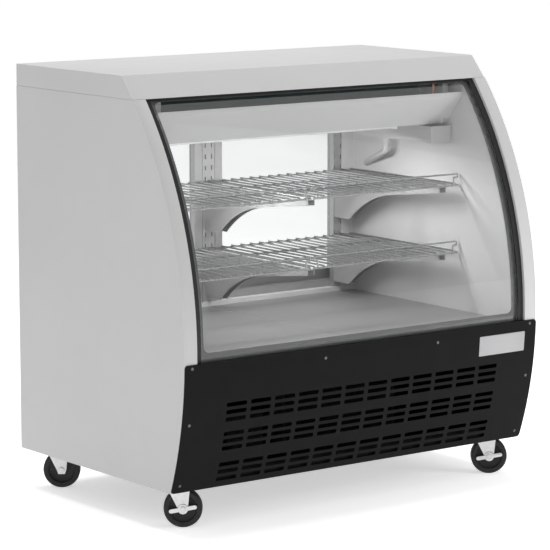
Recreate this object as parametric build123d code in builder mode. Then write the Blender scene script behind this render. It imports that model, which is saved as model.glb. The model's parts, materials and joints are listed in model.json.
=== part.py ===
"""Refrigerated bakery display case: curved front glass, four wire shelves, rear sliding doors, casters.

Frame: +Z up, front towards -Y, origin on the floor under the middle of the case. Millimetres.
"""
from build123d import *
import math
import os

os.makedirs("parts", exist_ok=True)

# ---------------------------------------------------------------- driving dimensions
WIDTH = 1200.0
HEIGHT = 1172.0
REAR_Y = 394.0
BODY_BOTTOM = 107.0
CAP_BOTTOM = 1112.0

# The front is one arc, seen from the side: every front sheet is a shell about this axis.
CURVE_Y = 641.0
CURVE_Z = 470.0
SIDE_RADIUS = 1032.0
PANEL_RADIUS = 1035.0
GLASS_RADIUS = 1022.0
GLASS_THICK = 8.0
LINER_RADIUS = 1011.0

SIDE_THICK = 40.0
SIDE_SKIN = 8.0
LINER_X = 527.0
HALF = WIDTH / 2
SIDE_INNER = HALF - SIDE_THICK

CAP_TOP_FRONT = -111.0
CAP_LOW_FRONT = -165.0

BASE_BOTTOM = 127.0
BASE_TOP = 150.0
FLOOR_BOTTOM = 395.0
FLOOR_TOP = 445.0
DECK_TOP = 453.0
PANEL_TOP = 452.0

# Rear frame and sliding doors
WALL_Y = 334.0
POST_DEPTH = 18.0
POCKET_Y = WALL_Y + POST_DEPTH
DOORWAY_BOTTOM = 466.0
DOORWAY_TOP = 1062.0
POST_INNER = 454.0
POST_OUTER = 483.0
POCKET_X = 500.0
MULLION_HALF = 48.0
DOOR_THICK = 14.0
DOOR_INNER_Y = 361.0
DOOR_OUTER_Y = 379.0
DOOR_LAP = 30.0
DOOR_RUN = 0.5
TRACK_HEIGHT = 22.0
TRACK_BASE = 4.0
STILE = 28.0
BOTTOM_RAIL = 45.0

# Shelves and their brackets
SLOT_PITCH = 32.0
SLOT_COUNT = 15
SLOT_LOW = 531.0
SLOT_SPREAD = 11.0
BRACKET_WIDTH = 24.0
BRACKET_FRONT = -142.0
BRACKET_DEPTH = 133.0
BRACKET_SHEET = 2.0
BRACKET_X = (-468.5, 0.0, 468.5)
SHELF_LEVELS = {"lower": 615.0, "upper": 807.0}
LIFT_GAP = 0.3
CROSS_WIRE = 6.0
LONG_WIRE = 5.0
WIRE_PITCH = 33.5
WIRE_COUNT = 16
SHELF_INNER_X = 3.0
SHELF_OUTER_X = 522.0
SHELF_FRONT = -146.0
SHELF_REAR = 324.0

# Front panel
LOUVRE_BANDS = (150.0, 235.0, 314.0)
LOUVRE_PITCH_X = 78.2
LOUVRE_PITCH_Z = 20.0
LOUVRE_SIZE = (65.0, 11.2)
SCREW_SPOTS = [(x, z) for x in (-577.0, 577.0) for z in (128.0, 293.0, 442.0)]
SCREW_SPOTS += [(-145.0, 423.0), (242.0, 423.0)]
SCREW_HEAD = 8.0
BADGE_CENTRE = (475.5, 394.5)
BADGE_SIZE = (165.0, 55.0)

# Casters
WHEEL_R = 51.0
WHEEL_WIDTH = 32.0
CASTER_SPOTS = {
    "front_left": (-530.0, -262.0),
    "front_right": (530.0, -262.0),
    "rear_left": (-530.0, 318.0),
    "rear_right": (530.0, 318.0),
}
CASTER_TURN = -37.0
TRAIL = 12.0
AXLE_R = 5.0
KINGPIN_R = 6.0
RUNNING = 0.05
FORK_INNER = 18.5
FORK_SHEET = 3.0

# Rear door height, controls, evaporator, drain and condenser
DOOR_LOW = DOORWAY_BOTTOM + TRACK_BASE + DOOR_RUN
DOOR_HIGH = DOORWAY_TOP - TRACK_BASE - DOOR_RUN
CONTROLLER_SPOT = (400.0, 350.0)
SWITCH_SPOT = (490.0, 350.0)
INLET_SPOT = (490.0, 185.0)
BUTTON_OFFSETS = {"set_button": -30.0, "defrost_button": 30.0}
BUTTON_R = 4.0
PAN_POINTS = [(-152, 1074), (-152, 1060), (-90, 984), (190, 981), (205, 1050)]
COIL_LOW = (-470.0, -100.0, 1010.0)
COIL_HIGH = (414.0, 30.0, 1100.0)
HANGER_X = (-492.0, 494.0)
PAN_FLOOR = 984.0
EVAP_FAN_X = (-240.0, 200.0)
EVAP_FAN_Y = 112.0
EVAP_FAN_Z = 1000.0
EVAP_FAN_R = 62.0
TROUGH_LOW = (450.0, -112.0, 929.0)
TROUGH_HIGH = (522.0, 243.0, 977.0)
PIPE_R = 9.0
CONDENSER_LOW = (-190.0, -268.0, 160.0)
CONDENSER_HIGH = (190.0, -218.0, 380.0)
CONDENSER_FAN_R = 95.0


def save(part, name):
    """Label a finished sub-part and write its STEP file."""
    part.label = name
    export_step(part, f"parts/{name}.step")


def curve_y(radius, z):
    """Y of the front arc of the given radius at height z."""
    return CURVE_Y - math.sqrt(radius ** 2 - (z - CURVE_Z) ** 2)


def arc_between(radius, z_low, z_high):
    """Add the front arc of one radius between two heights to the open BuildLine (X is Y, Y is Z)."""
    z_mid = (z_low + z_high) / 2
    ThreePointArc(
        (curve_y(radius, z_low), z_low),
        (curve_y(radius, z_mid), z_mid),
        (curve_y(radius, z_high), z_high),
    )


def curved_sheet(half_x, outer, inner, z_low, z_high):
    """A sheet that follows the front arc, centred on X, between two radii and two heights."""
    with BuildPart() as sheet:
        with BuildSketch(Plane.YZ.offset(-half_x)):
            with BuildLine():
                arc_between(outer, z_low, z_high)
                arc_between(inner, z_low, z_high)
                Line((curve_y(outer, z_low), z_low), (curve_y(inner, z_low), z_low))
                Line((curve_y(outer, z_high), z_high), (curve_y(inner, z_high), z_high))
            make_face()
        extrude(amount=2 * half_x)
    return sheet.part


def block(low, high):
    """A plain block between two corners, for cutting with or adding in the open BuildPart."""
    size = [b - a for a, b in zip(low, high)]
    middle = [(a + b) / 2 for a, b in zip(low, high)]
    return Pos(*middle) * Solid.make_box(*size).moved(Pos(*[-s / 2 for s in size]))


def side_profile(z_low, z_high, radius, rear):
    """Face of the case's side view between two heights, with the arc at the front."""
    with BuildSketch() as profile:
        with BuildLine():
            arc_between(radius, z_low, z_high)
            Polyline(
                (curve_y(radius, z_low), z_low),
                (rear, z_low),
                (rear, z_high),
                (curve_y(radius, z_high), z_high),
            )
        make_face()
    return profile.sketch


# ---------------------------------------------------------------- casing
def build_side_panel(name, side):
    """Insulated outer side panel; below the base frame only its outer skin goes on down."""
    start = side * HALF if side < 0 else SIDE_INNER
    with BuildPart() as panel:
        with BuildSketch(Plane.YZ.offset(start)):
            add(side_profile(BODY_BOTTOM, CAP_BOTTOM, SIDE_RADIUS, REAR_Y))
        extrude(amount=SIDE_THICK)
        inner = side * (HALF - SIDE_SKIN)
        cut_low = min(inner, side * SIDE_INNER)
        cut_high = max(inner, side * SIDE_INNER)
        with BuildSketch(Plane.YZ.offset(cut_low)):
            with BuildLine():
                Polyline(
                    (-325, BODY_BOTTOM - 1), (-325, BASE_TOP), (REAR_Y - 4, BASE_TOP),
                    (REAR_Y - 4, BODY_BOTTOM - 1), close=True,
                )
            make_face()
        extrude(amount=cut_high - cut_low, mode=Mode.SUBTRACT)
    save(panel.part, name)


def build_wall_liner(name, side):
    """Insulated inner side wall, from the floor up to the cap."""
    start = -SIDE_INNER if side < 0 else LINER_X
    with BuildPart() as liner:
        with BuildSketch(Plane.YZ.offset(start)):
            add(side_profile(FLOOR_BOTTOM, CAP_BOTTOM, LINER_RADIUS, WALL_Y))
        extrude(amount=SIDE_INNER - LINER_X)
    save(liner.part, name)


def build_top_cap():
    """Insulated top with a sloping front edge."""
    with BuildPart() as cap:
        with BuildSketch(Plane.YZ.offset(-HALF)):
            with BuildLine():
                Polyline(
                    (REAR_Y, CAP_BOTTOM), (REAR_Y, HEIGHT), (CAP_TOP_FRONT, HEIGHT),
                    (CAP_LOW_FRONT, CAP_BOTTOM), close=True,
                )
            make_face()
        extrude(amount=WIDTH)
    save(cap.part, "top_cap")


def build_cabinet_floor():
    """Insulated floor between the refrigerated space and the machine compartment."""
    with BuildPart() as floor:
        with BuildSketch(Plane.YZ.offset(-LINER_X)):
            add(side_profile(FLOOR_BOTTOM, FLOOR_TOP, LINER_RADIUS - 12, WALL_Y))
        extrude(amount=2 * LINER_X)
    save(floor.part, "cabinet_floor")


def build_base_frame():
    """Tray that carries the machinery, with two uprights under the insulated floor; casters bolt under it."""
    low = (-HALF + SIDE_SKIN, -322, BASE_BOTTOM)
    high = (HALF - SIDE_SKIN, REAR_Y - 6, BASE_TOP)
    wall = 3.0
    with BuildPart() as base:
        add(block(low, high))
        pocket_low = (low[0] + wall, low[1] + wall, low[2] + wall)
        pocket_high = (high[0] - wall, high[1] - wall, high[2] + 1)
        add(block(pocket_low, pocket_high), mode=Mode.SUBTRACT)
        for x, y in CASTER_SPOTS.values():
            with BuildSketch(Plane.XY.offset(BASE_BOTTOM - 1)):
                with Locations((x, y)):
                    with GridLocations(76, 60, 2, 2):
                        Circle(4.3)
            extrude(amount=wall + 2, mode=Mode.SUBTRACT)
        for x in (-SIDE_INNER, SIDE_INNER - 20):
            add(block((x, -300, BASE_BOTTOM + wall), (x + 20, WALL_Y, FLOOR_BOTTOM)))
    save(base.part, "base_frame")


# ---------------------------------------------------------------- front
def build_front_panel():
    """Curved black machine-compartment cover with three bands of slots."""
    sheet = curved_sheet(HALF + 5, PANEL_RADIUS, SIDE_RADIUS, BODY_BOTTOM - 5, PANEL_TOP + 5)
    ledge = curved_sheet(SIDE_INNER - 1, SIDE_RADIUS, GLASS_RADIUS + 2.5, PANEL_TOP - 3, PANEL_TOP)
    middle_z = (BODY_BOTTOM + PANEL_TOP) / 2
    with BuildPart() as cover:
        add(sheet)
        with BuildSketch(Plane.XZ.offset(-CURVE_Y)):
            with Locations((0, middle_z)):
                RectangleRounded(WIDTH, PANEL_TOP - BODY_BOTTOM, 10)
        extrude(amount=PANEL_RADIUS + 5, mode=Mode.INTERSECT)
        add(ledge)
        with BuildSketch(Plane.XZ.offset(300)):
            for z in LOUVRE_BANDS:
                with Locations((0, z)):
                    with GridLocations(LOUVRE_PITCH_X, LOUVRE_PITCH_Z, 12, 3):
                        RectangleRounded(*LOUVRE_SIZE, 3.2)
        extrude(amount=120, mode=Mode.SUBTRACT)
        for x, z in SCREW_SPOTS:
            with BuildSketch(screw_plane(x, z, SIDE_RADIUS - 1)):
                Circle(SCREW_HEAD / 2)
            extrude(amount=8, mode=Mode.SUBTRACT)
    save(cover.part, "front_panel")


def screw_plane(x, z, radius):
    """Plane on the front arc, facing outwards, at one X and Z."""
    angle = math.asin((z - CURVE_Z) / radius)
    outward = (0, -math.cos(angle), math.sin(angle))
    return Plane(origin=(x, curve_y(radius, z), z), x_dir=(1, 0, 0), z_dir=outward)


def build_front_panel_screws():
    """Countersunk screws that hold the front panel, flush with it, cross-recessed."""
    depth = PANEL_RADIUS - SIDE_RADIUS
    with BuildPart() as screws:
        for x, z in SCREW_SPOTS:
            with BuildSketch(screw_plane(x, z, SIDE_RADIUS)):
                Circle(SCREW_HEAD / 2 - 0.1)
            extrude(amount=depth)
            with BuildSketch(screw_plane(x, z, PANEL_RADIUS - 1.2)):
                Rectangle(4.4, 1.0)
                Rectangle(1.0, 4.4)
            extrude(amount=3, mode=Mode.SUBTRACT)
    save(screws.part, "front_panel_screws")


def build_badge_plate():
    """Blank plate on the front panel, with no mark on it."""
    sheet = curved_sheet(HALF, PANEL_RADIUS + 1.2, PANEL_RADIUS, 340, 440)
    with BuildPart() as badge:
        add(sheet)
        with BuildSketch(Plane.XZ.offset(300)):
            with Locations(BADGE_CENTRE):
                RectangleRounded(*BADGE_SIZE, 2.5)
        extrude(amount=120, mode=Mode.INTERSECT)
    save(badge.part, "badge_plate")


def build_front_glass():
    """Bent glass between the side panels."""
    save(curved_sheet(548, GLASS_RADIUS, GLASS_RADIUS - GLASS_THICK, 430, 1110), "front_glass")


def build_glass_border():
    """Printed dark border on the back of the glass, with rounded inner corners."""
    back = GLASS_RADIUS - GLASS_THICK
    window_low = 474.0
    window_high = 1101.0
    with BuildPart() as border:
        add(curved_sheet(545, back, back - 0.6, 436, 1108))
        with BuildSketch(Plane.XZ.offset(50)):
            with Locations((0, (window_low + window_high) / 2)):
                RectangleRounded(2 * LINER_X, window_high - window_low, 18)
        extrude(amount=400, mode=Mode.SUBTRACT)
    save(border.part, "glass_border")


def build_glass_gasket():
    """Black seal around the top and sides of the glass."""
    front = GLASS_RADIUS + 2
    back = GLASS_RADIUS - 10
    glass_pocket = curved_sheet(549, GLASS_RADIUS, back - 1, 420, 1110.5)
    daylight = curved_sheet(542, front + 5, back - 5, 420, 1105)
    with BuildPart() as gasket:
        add(curved_sheet(SIDE_INNER, front, back, 442, CAP_BOTTOM))
        add(glass_pocket, mode=Mode.SUBTRACT)
        add(daylight, mode=Mode.SUBTRACT)
    save(gasket.part, "glass_gasket")


def build_glass_rail():
    """Channel that holds the lower edge of the glass behind the front panel."""
    with BuildPart() as rail:
        add(curved_sheet(SIDE_INNER - 1, GLASS_RADIUS + 5, LINER_RADIUS, 412, 440))
        add(curved_sheet(548.5, GLASS_RADIUS + 0.3, GLASS_RADIUS - 8.7, 430, 441), mode=Mode.SUBTRACT)
    save(rail.part, "glass_rail")


# ---------------------------------------------------------------- rear
def build_rear_frame():
    """Rear frame of the refrigerated space: doorway, pocket for the doors, and the sill behind the deck."""
    with BuildPart() as rear:
        add(block((-SIDE_INNER, WALL_Y, FLOOR_BOTTOM), (SIDE_INNER, REAR_Y, CAP_BOTTOM)))
        add(
            block((-POST_OUTER, WALL_Y - 1, DOORWAY_BOTTOM), (POST_OUTER, POCKET_Y, DOORWAY_TOP)),
            mode=Mode.SUBTRACT,
        )
        add(
            block((-POCKET_X, POCKET_Y, DOORWAY_BOTTOM), (POCKET_X, REAR_Y + 1, DOORWAY_TOP)),
            mode=Mode.SUBTRACT,
        )
        add(block((-LINER_X, WALL_Y - 4, FLOOR_TOP), (LINER_X, WALL_Y, DOORWAY_BOTTOM)))
    save(rear.part, "rear_frame")


def bracket_slots(x):
    """Two columns of slot-shaped blocks centred on x, to cut out of a post."""
    middle_z = SLOT_LOW + SLOT_PITCH * (SLOT_COUNT - 1) / 2
    with BuildPart() as slots:
        with BuildSketch(Plane.XZ.offset(-WALL_Y)):
            with Locations((x, middle_z)):
                with GridLocations(2 * SLOT_SPREAD, SLOT_PITCH, 2, SLOT_COUNT):
                    Rectangle(3, 13)
        extrude(amount=-7)
    return slots.part


def build_slotted_posts():
    """Centre mullion and two side posts of the doorway, slotted for the shelf brackets."""
    low_z, high_z = DOORWAY_BOTTOM, DOORWAY_TOP
    with BuildPart() as posts:
        add(block((-MULLION_HALF, WALL_Y, low_z), (MULLION_HALF, POCKET_Y, high_z)))
        for x in (-22, 22):
            add(block((x - 0.8, WALL_Y - 1, low_z), (x + 0.8, WALL_Y + 2, high_z)), mode=Mode.SUBTRACT)
        add(block((POST_INNER, WALL_Y, low_z), (POST_OUTER, POCKET_Y, high_z)))
        add(block((-POST_OUTER, WALL_Y, low_z), (-POST_INNER, POCKET_Y, high_z)))
        for x in BRACKET_X:
            add(bracket_slots(x), mode=Mode.SUBTRACT)
    save(posts.part, "slotted_posts")


def build_door_tracks():
    """Lower and upper tracks, each with one groove per sliding door."""
    low, high = DOORWAY_BOTTOM, DOORWAY_TOP
    groove = DOOR_THICK / 2 + DOOR_RUN
    with BuildPart() as tracks:
        add(block((-POCKET_X, POCKET_Y, low), (POCKET_X, REAR_Y - 4, low + TRACK_HEIGHT)))
        add(block((-POCKET_X, POCKET_Y, high - TRACK_HEIGHT), (POCKET_X, REAR_Y - 4, high)))
        for y in (DOOR_INNER_Y, DOOR_OUTER_Y):
            groove_low = (-POCKET_X - 1, y - groove, low + TRACK_BASE)
            groove_high = (POCKET_X + 1, y + groove, high - TRACK_BASE)
            add(block(groove_low, groove_high), mode=Mode.SUBTRACT)
    save(tracks.part, "door_tracks")


def door_span(side):
    """X range of a closed door: -1 is the left door, +1 the right one."""
    outer = side * (POCKET_X - 1)
    inner = -side * DOOR_LAP
    return min(outer, inner), max(outer, inner)


def pull_x(side):
    """X of the middle of a door's outer stile."""
    return side * (POCKET_X - 1 - STILE / 2)


def build_door(side, y):
    """Sliding door: a frame with a recessed finger pull, and its glass pane."""
    name = "left" if side < 0 else "right"
    x_low, x_high = door_span(side)
    half = DOOR_THICK / 2
    glass_low = DOOR_LOW + BOTTOM_RAIL
    glass_high = DOOR_HIGH - STILE
    pull_z = 760.0
    with BuildPart() as frame:
        add(block((x_low, y - half, DOOR_LOW), (x_high, y + half, DOOR_HIGH)))
        add(
            block((x_low + STILE, y - half - 1, glass_low), (x_high - STILE, y + half + 1, glass_high)),
            mode=Mode.SUBTRACT,
        )
        with BuildSketch(Plane.XZ.offset(-(y + half))):
            with Locations((pull_x(side), pull_z)):
                RectangleRounded(20, 120, 9)
        extrude(amount=9, mode=Mode.SUBTRACT)
    save(frame.part, f"{name}_door_frame")

    with BuildPart() as pane:
        add(block((x_low + STILE, y - 2, glass_low), (x_high - STILE, y + 2, glass_high)))
    save(pane.part, f"{name}_door_glass")


def build_rear_grille():
    """Louvred rear cover of the machine compartment, with cut-outs for the controls."""
    with BuildPart() as grille:
        add(block((-SIDE_INNER + 1, REAR_Y - 5, BASE_TOP), (SIDE_INNER - 1, REAR_Y - 2, FLOOR_BOTTOM - 1)))
        with BuildSketch(Plane.XZ.offset(-REAR_Y)):
            with Locations((-60, 235)):
                with GridLocations(110, 22, 7, 5):
                    SlotOverall(90, 9)
            with Locations(CONTROLLER_SPOT):
                Rectangle(82, 36)
            with Locations(SWITCH_SPOT):
                Rectangle(26, 36)
            with Locations(INLET_SPOT):
                Circle(14)
        extrude(amount=8, mode=Mode.SUBTRACT)
    save(grille.part, "rear_grille")


# ---------------------------------------------------------------- controls
def build_controls():
    """Thermostat with two buttons and the light's rocker switch in one module, and the cable gland."""
    face = REAR_Y - 2
    x, z = CONTROLLER_SPOT
    with BuildPart() as controller:
        add(block((x - 41, face - 52, z - 18), (x + 41, face, z + 18)))
        with BuildSketch(Plane.XZ.offset(-face)):
            with Locations((x, z)):
                Rectangle(36, 18)
            with Locations(*[(x + dx, z) for dx in BUTTON_OFFSETS.values()]):
                Circle(BUTTON_R + 0.4)
        extrude(amount=5, mode=Mode.SUBTRACT)
        add(block((x - 17, face - 5, z - 8), (x + 17, face - 1.5, z + 8)))
        switch_x = SWITCH_SPOT[0]
        add(block((switch_x - 13, face - 30, z - 18), (switch_x + 13, face, z + 18)))
        add(block((switch_x - 9, face - 16, z - 14), (switch_x + 9, face + 1, z + 14)), mode=Mode.SUBTRACT)
    save(controller.part, "controller")

    for name, dx in BUTTON_OFFSETS.items():
        with BuildPart() as button:
            with BuildSketch(Plane.XZ.offset(-(face - 3.2))):
                with Locations((x + dx, z)):
                    Circle(BUTTON_R)
            extrude(amount=-4.6)
        save(button.part, name)

    x, z = SWITCH_SPOT
    with BuildPart() as rocker:
        with BuildSketch(Plane.YZ.offset(x - 8)):
            with BuildLine():
                Polyline(
                    (face - 9, z - 11), (face - 9, z + 11), (face - 1.5, z + 11.5),
                    (face - 2.5, z), (face + 1.2, z - 11.5), close=True,
                )
            make_face()
        extrude(amount=16)
    save(rocker.part, "light_switch")

    x, z = INLET_SPOT
    with BuildPart() as gland:
        with BuildSketch(Plane.XZ.offset(-face)):
            with Locations((x, z)):
                Circle(14)
        extrude(amount=14)
        with BuildSketch(Plane.XZ.offset(-(face - 14))):
            with Locations((x, z)):
                RegularPolygon(18, 6)
        extrude(amount=6)
        with BuildSketch(Plane.XZ.offset(-(face + 1))):
            with Locations((x, z)):
                Circle(5)
        extrude(amount=30, mode=Mode.SUBTRACT)
    save(gland.part, "cable_gland")


# ---------------------------------------------------------------- shelves
def bracket_outline(drop):
    """Side view of a bracket about its rear top corner, lowered by drop."""
    front = BRACKET_FRONT
    rear = WALL_Y - drop
    low = -BRACKET_DEPTH - drop
    arch_start = (75, -43 - drop)
    arch_end = (262, low)
    with BuildSketch() as outline:
        with BuildLine():
            Polyline(arch_start, (front, -16 - drop), (front, -drop), (rear, -drop), (rear, low), arch_end)
            TangentArc(arch_start, arch_end, tangent=(1, -0.124))
        make_face()
    return outline.sketch


def bracket(x, top):
    """Inverted-channel bracket with hooks into the post's slots."""
    half = BRACKET_WIDTH / 2
    inside = x - half + BRACKET_SHEET
    with BuildPart() as channel:
        with BuildSketch(Plane(origin=(x - half, 0, top), x_dir=(0, 1, 0), z_dir=(1, 0, 0))):
            add(bracket_outline(0))
        extrude(amount=BRACKET_WIDTH)
        with BuildSketch(Plane(origin=(inside, 0, top), x_dir=(0, 1, 0), z_dir=(1, 0, 0))):
            add(bracket_outline(BRACKET_SHEET))
        extrude(amount=BRACKET_WIDTH - 2 * BRACKET_SHEET, mode=Mode.SUBTRACT)
        tip_low = (inside, BRACKET_FRONT - 1, top - 30)
        tip_high = (x + half - BRACKET_SHEET, -60, top - BRACKET_SHEET)
        add(block(tip_low, tip_high), mode=Mode.SUBTRACT)
        for plate in (x - SLOT_SPREAD, x + SLOT_SPREAD):
            for z in (top - 20, top - 20 - 2 * SLOT_PITCH):
                add(block((plate - 1, WALL_Y, z - 5), (plate + 1, WALL_Y + 5, z + 5)))
    return channel.part


def build_shelf_brackets():
    """Three brackets under each level of shelves."""
    with BuildPart() as brackets:
        for top in SHELF_LEVELS.values():
            for x in BRACKET_X:
                add(bracket(x, top))
    save(brackets.part, "shelf_brackets")


def build_shelf(name, side, top):
    """Welded wire shelf with a raised guard rail along its front."""
    cross_z = top + LIFT_GAP + CROSS_WIRE / 2
    long_z = cross_z + CROSS_WIRE / 2 + LONG_WIRE / 2 - 0.8
    inner = side * SHELF_INNER_X
    outer = side * SHELF_OUTER_X
    start_x = min(inner, outer)
    first = SHELF_INNER_X + LONG_WIRE
    last = first + WIRE_PITCH * (WIRE_COUNT - 1)
    rail_ends = (side * (SHELF_INNER_X + 3), side * (SHELF_OUTER_X - 2.5))
    rail_feet = (side * (SHELF_INNER_X + 17), side * (SHELF_OUTER_X - 16.5))
    rail_top = top + 35
    rail_step = rail_top - 10
    with BuildPart() as shelf:
        with BuildSketch(Plane.XZ.offset(-(SHELF_REAR + 4))):
            with Locations((side * (first + last) / 2, long_z)):
                with GridLocations(WIRE_PITCH, 1, WIRE_COUNT, 1):
                    Circle(LONG_WIRE / 2)
        extrude(amount=SHELF_REAR - SHELF_FRONT + 7)
        with BuildSketch(Plane.YZ.offset(start_x)):
            with Locations(((SHELF_FRONT + SHELF_REAR) / 2, cross_z)):
                with GridLocations((SHELF_REAR - SHELF_FRONT) / 3, 1, 4, 1):
                    Circle(CROSS_WIRE / 2)
        extrude(amount=SHELF_OUTER_X - SHELF_INNER_X)
        with BuildLine(Plane.XZ.offset(-SHELF_FRONT)) as rail:
            FilletPolyline(
                (rail_feet[0], cross_z), (rail_feet[0], rail_step), (rail_ends[0], rail_step),
                (rail_ends[0], rail_top), (rail_ends[1], rail_top), (rail_ends[1], rail_step),
                (rail_feet[1], rail_step), (rail_feet[1], cross_z), radius=4,
            )
        with BuildSketch(Plane(origin=rail.line @ 0, z_dir=rail.line % 0)):
            Circle(LONG_WIRE / 2)
        sweep(path=rail.line)
    save(shelf.part, name)


def build_deck_pan(name, side):
    """Removable floor pan with turned-down edges."""
    low_x = min(side * 1.0, side * (LINER_X - 1))
    low = (low_x, -352, FLOOR_TOP + LIFT_GAP)
    high = (low_x + LINER_X - 2, WALL_Y - 5, DECK_TOP)
    with BuildPart() as pan:
        add(block(low, high))
        add(
            block((low[0] + 2, low[1] + 2, low[2] - 1), (high[0] - 2, high[1] - 2, DECK_TOP - 2)),
            mode=Mode.SUBTRACT,
        )
        top_face = pan.faces().sort_by(Axis.Z)[-1]
        fillet(top_face.edges(), radius=1.2)
    save(pan.part, name)


# ---------------------------------------------------------------- cooling, upper
def build_drip_pan():
    """Sheet-metal pan and front cover under the evaporator, with two fan openings and two hangers."""
    sheet = 2.0
    with BuildPart() as pan:
        with BuildSketch(Plane.YZ.offset(-LINER_X + 1)):
            with BuildLine():
                outer = Polyline(*PAN_POINTS)
                offset(outer, amount=sheet, side=Side.RIGHT, closed=True)
            make_face()
        extrude(amount=2 * LINER_X - 2)
        for x in EVAP_FAN_X:
            with BuildSketch(Plane.XY.offset(960)):
                with Locations((x, EVAP_FAN_Y)):
                    Circle(EVAP_FAN_R + 6)
            extrude(amount=50, mode=Mode.SUBTRACT)
        for x in (-LINER_X + 1, LINER_X - 3):
            with BuildSketch(Plane.YZ.offset(x)):
                with BuildLine():
                    Polyline(*PAN_POINTS, close=True)
                make_face()
            extrude(amount=sheet)
        for x in HANGER_X:
            add(block((x, -106, PAN_FLOOR), (x + 3, 30, CAP_BOTTOM)))
            add(block((x, -109, 1048), (x + 20, -106, CAP_BOTTOM)))
    save(pan.part, "drip_pan")


def build_evaporator():
    """Finned coil block and the copper bends at its right-hand end."""
    with BuildPart() as coil:
        add(block(COIL_LOW, COIL_HIGH))
    save(coil.part, "evaporator_coil")

    end_x = COIL_HIGH[0]
    with BuildPart() as tubes:
        for y in (-85.0, -28.0):
            for z in (1030.0, 1075.0):
                with BuildLine() as bend:
                    FilletPolyline(
                        (end_x, y, z), (end_x + 30, y, z), (end_x + 30, y + 30, z), (end_x, y + 30, z),
                        radius=14.9,
                    )
                with BuildSketch(Plane(origin=bend.line @ 0, z_dir=bend.line % 0)):
                    Circle(5)
                sweep(path=bend.line)
        with BuildLine() as suction:
            FilletPolyline(
                (end_x, -92, 1052), (end_x + 58, -92, 1052), (end_x + 58, -92, CAP_BOTTOM), radius=20
            )
        with BuildSketch(Plane(origin=suction.line @ 0, z_dir=suction.line % 0)):
            Circle(6)
        sweep(path=suction.line)
    save(tubes.part, "evaporator_tubes")


def blade_plane(plane, height, turn, pitch):
    """Plane of one fan blade: X runs outwards, and Y is tilted by the pitch angle in degrees."""
    turn, pitch = math.radians(turn), math.radians(pitch)
    outward = plane.x_dir * math.cos(turn) + plane.y_dir * math.sin(turn)
    around = plane.y_dir * math.cos(turn) - plane.x_dir * math.sin(turn)
    normal = plane.z_dir * math.cos(pitch) - around * math.sin(pitch)
    return Plane(origin=plane.origin + plane.z_dir * height, x_dir=outward, z_dir=normal)


def fan_rotor(plane, radius, hub_r, depth, blades, bore):
    """Fan rotor about the plane's Z axis: a hub with flat blades set at an angle."""
    with BuildPart() as rotor:
        with BuildSketch(plane):
            Circle(hub_r)
        extrude(amount=depth)
        for i in range(blades):
            with BuildSketch(blade_plane(plane, depth / 2, 360 * i / blades, 25)):
                with BuildLine():
                    Polyline((hub_r - 3, -8), (radius - 4, -22), (radius - 2, 18), (hub_r - 3, 8), close=True)
                make_face()
            extrude(amount=1.0, both=True)
        with BuildSketch(plane):
            Circle(bore)
        extrude(amount=depth + 2, mode=Mode.SUBTRACT)
    return rotor.part


def build_evaporator_fans():
    """Two axial fans over the pan's openings: rotors, and motors on wire guards."""
    for name, x in zip(("left", "right"), EVAP_FAN_X):
        plane = Plane(origin=(x, EVAP_FAN_Y, EVAP_FAN_Z), z_dir=(0, 0, 1))
        save(fan_rotor(plane, EVAP_FAN_R - 4, 18, 20, 5, 3 + RUNNING), f"{name}_evaporator_fan")

    with BuildPart() as motors:
        for x in EVAP_FAN_X:
            with BuildSketch(Plane.XY.offset(EVAP_FAN_Z + 24)):
                with Locations((x, EVAP_FAN_Y)):
                    Circle(24)
            extrude(amount=34)
            with BuildSketch(Plane.XY.offset(EVAP_FAN_Z + 1)):
                with Locations((x, EVAP_FAN_Y)):
                    Circle(3)
            extrude(amount=24)
            with BuildSketch(Plane.XY.offset(EVAP_FAN_Z + 50)):
                with Locations((x, EVAP_FAN_Y)):
                    Rectangle(8, 2 * EVAP_FAN_R)
                    Rectangle(2 * EVAP_FAN_R, 8)
            extrude(amount=4)
            for dx, dy in ((0, -EVAP_FAN_R), (0, EVAP_FAN_R), (-EVAP_FAN_R, 0), (EVAP_FAN_R, 0)):
                add(
                    block(
                        (x + dx - 4, EVAP_FAN_Y + dy - 4, EVAP_FAN_Z + 50),
                        (x + dx + 4, EVAP_FAN_Y + dy + 4, CAP_BOTTOM),
                    )
                )
    save(motors.part, "evaporator_fan_motors")


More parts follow.
